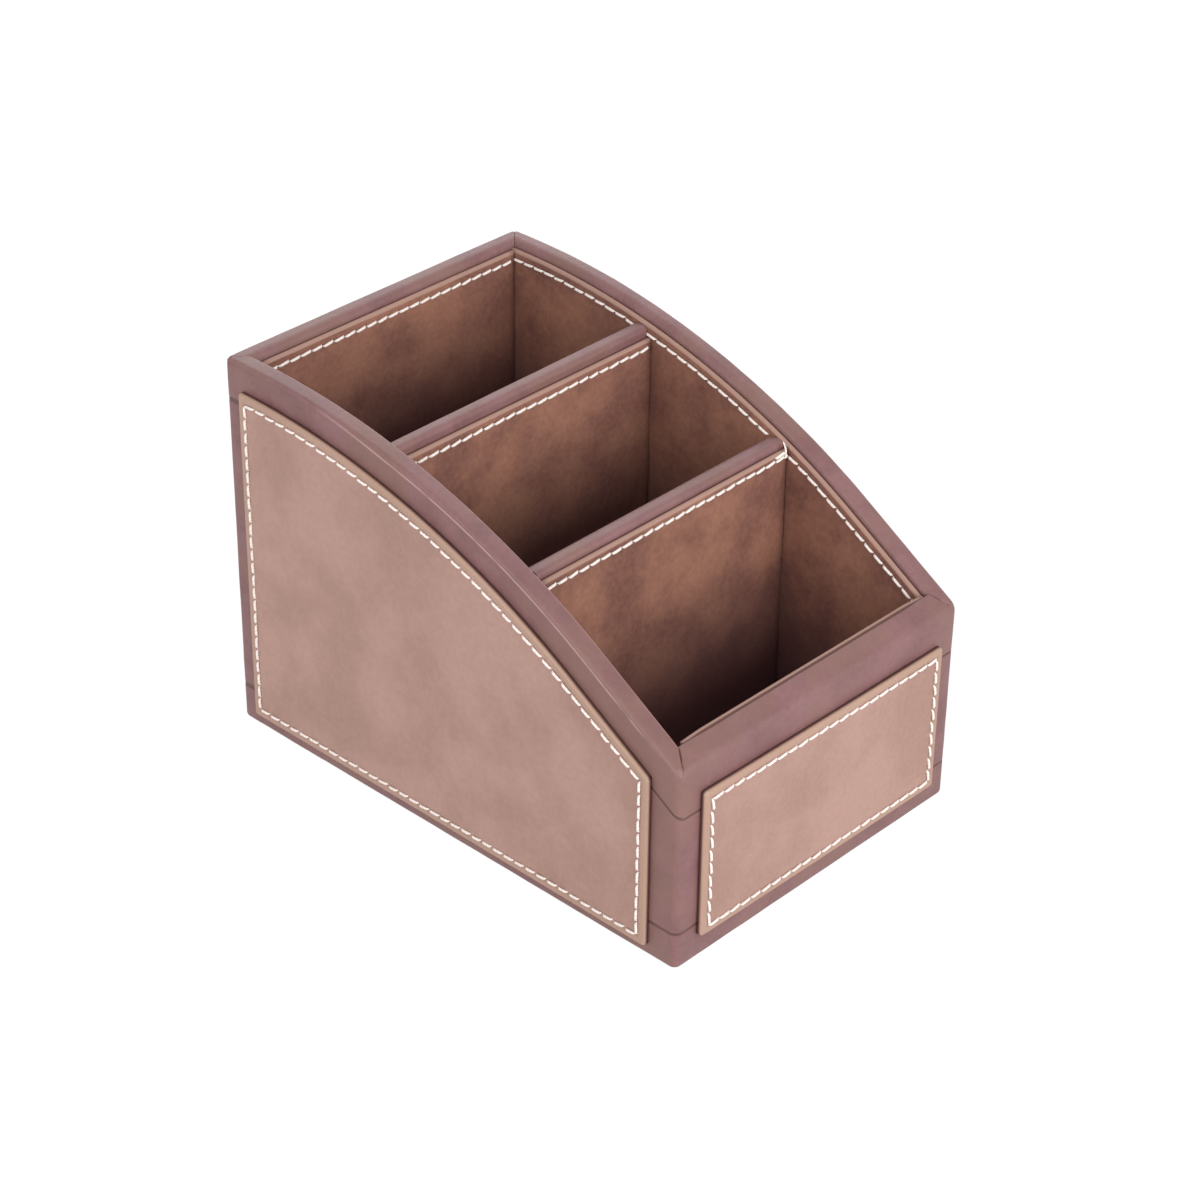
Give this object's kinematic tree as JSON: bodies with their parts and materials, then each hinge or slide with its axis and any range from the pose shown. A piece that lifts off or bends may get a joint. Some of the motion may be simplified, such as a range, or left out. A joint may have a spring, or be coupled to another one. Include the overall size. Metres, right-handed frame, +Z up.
{
  "type": "remote control holder",
  "caption": "Leather-covered remote control holder: open box with a falling curved rim, cross dividers and raised stitched panels on its faces.",
  "frame": {"origin": "middle of the underside, on the surface the box stands on", "axes": "+Z up, -Y is the low front, +Y the high back, +X to the right of someone facing +Y from the front; the three compartments lie one behind the other along Y"},
  "size_m": [0.121, 0.1804, 0.1227],
  "materials": {
    "board": "bare fibreboard, hidden",
    "wrap": "fine grain, satin",
    "panel": "fine grain, clouded, satin",
    "card": "plain, hidden",
    "lining": "fine grain, matt",
    "thread": "waxed thread",
    "base": "plain sheet"
  },
  "bodies": {
    "root": {"left_side_board": "board", "right_side_board": "board", "back_board": "board", "front_board": "board", "floor_board": "board", "front_divider_board": "board", "rear_divider_board": "board", "left_rim_wrap": "wrap", "right_rim_wrap": "wrap", "back_rim_wrap": "wrap", "front_rim_wrap": "wrap", "front_left_corner_wrap": "wrap", "front_right_corner_wrap": "wrap", "back_left_corner_wrap": "wrap", "back_right_corner_wrap": "wrap", "bottom_wrap": "wrap", "front_divider_cap": "wrap", "rear_divider_cap": "wrap", "left_panel_card": "card", "left_panel_cover": "panel", "left_panel_stitching": "thread", "right_panel_card": "card", "right_panel_cover": "panel", "right_panel_stitching": "thread", "front_panel_card": "card", "front_panel_cover": "panel", "front_panel_stitching": "thread", "back_panel_card": "card", "back_panel_cover": "panel", "back_panel_stitching": "thread", "left_lining": "lining", "left_lining_stitching": "thread", "right_lining": "lining", "right_lining_stitching": "thread", "back_lining": "lining", "back_lining_stitching": "thread", "front_lining": "lining", "front_lining_stitching": "thread", "front_divider_front_lining": "lining", "front_divider_front_stitching": "thread", "front_divider_rear_lining": "lining", "front_divider_rear_stitching": "thread", "rear_divider_front_lining": "lining", "rear_divider_front_stitching": "thread", "rear_divider_rear_lining": "lining", "rear_divider_rear_stitching": "thread", "front_floor_lining": "lining", "middle_floor_lining": "lining", "rear_floor_lining": "lining", "base_sheet": "base"}
  },
  "joints": []
}
